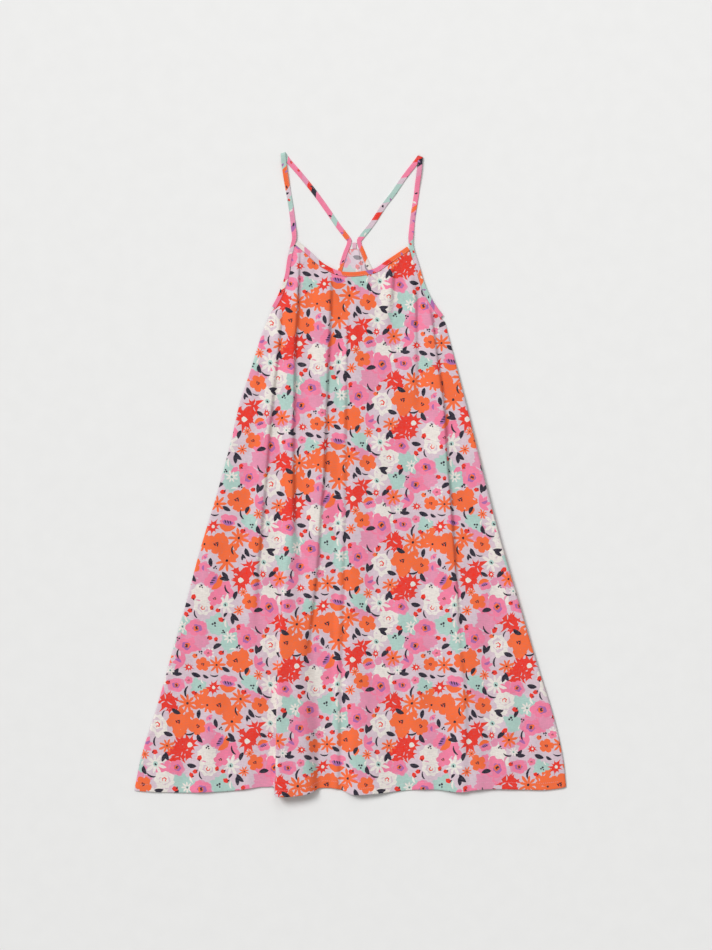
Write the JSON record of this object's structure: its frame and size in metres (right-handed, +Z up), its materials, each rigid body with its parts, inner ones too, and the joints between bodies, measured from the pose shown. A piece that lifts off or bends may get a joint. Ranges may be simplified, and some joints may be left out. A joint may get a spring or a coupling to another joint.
{
  "type": "sleeveless midi sun dress laid flat",
  "caption": "Girl's A-line midi sun dress with thin straps and a racerback, gathered at the neck, laid flat with its front up.",
  "frame": {"origin": "on the surface the dress lies on, under the middle of its bounding box", "axes": "+X to the wearer's left (the viewer's right), +Y from the hem to the neck, +Z up through the front"},
  "size_m": [0.5716, 0.8519, 0.0164],
  "materials": {
    "print_front": "matt printed crinkle viscose, front",
    "print_back": "matt printed crinkle viscose, back",
    "print_strip": "matt printed crinkle viscose, folded strip"
  },
  "bodies": {
    "root": {"front_panel": "print_front", "back_panel": "print_back", "neck_binding": "print_strip", "back_neck_tab": "print_strip", "left_strap": "print_strip", "right_strap": "print_strip", "left_front_armhole_binding": "print_strip", "right_front_armhole_binding": "print_strip", "left_back_armhole_binding": "print_strip", "right_back_armhole_binding": "print_strip"}
  },
  "joints": []
}
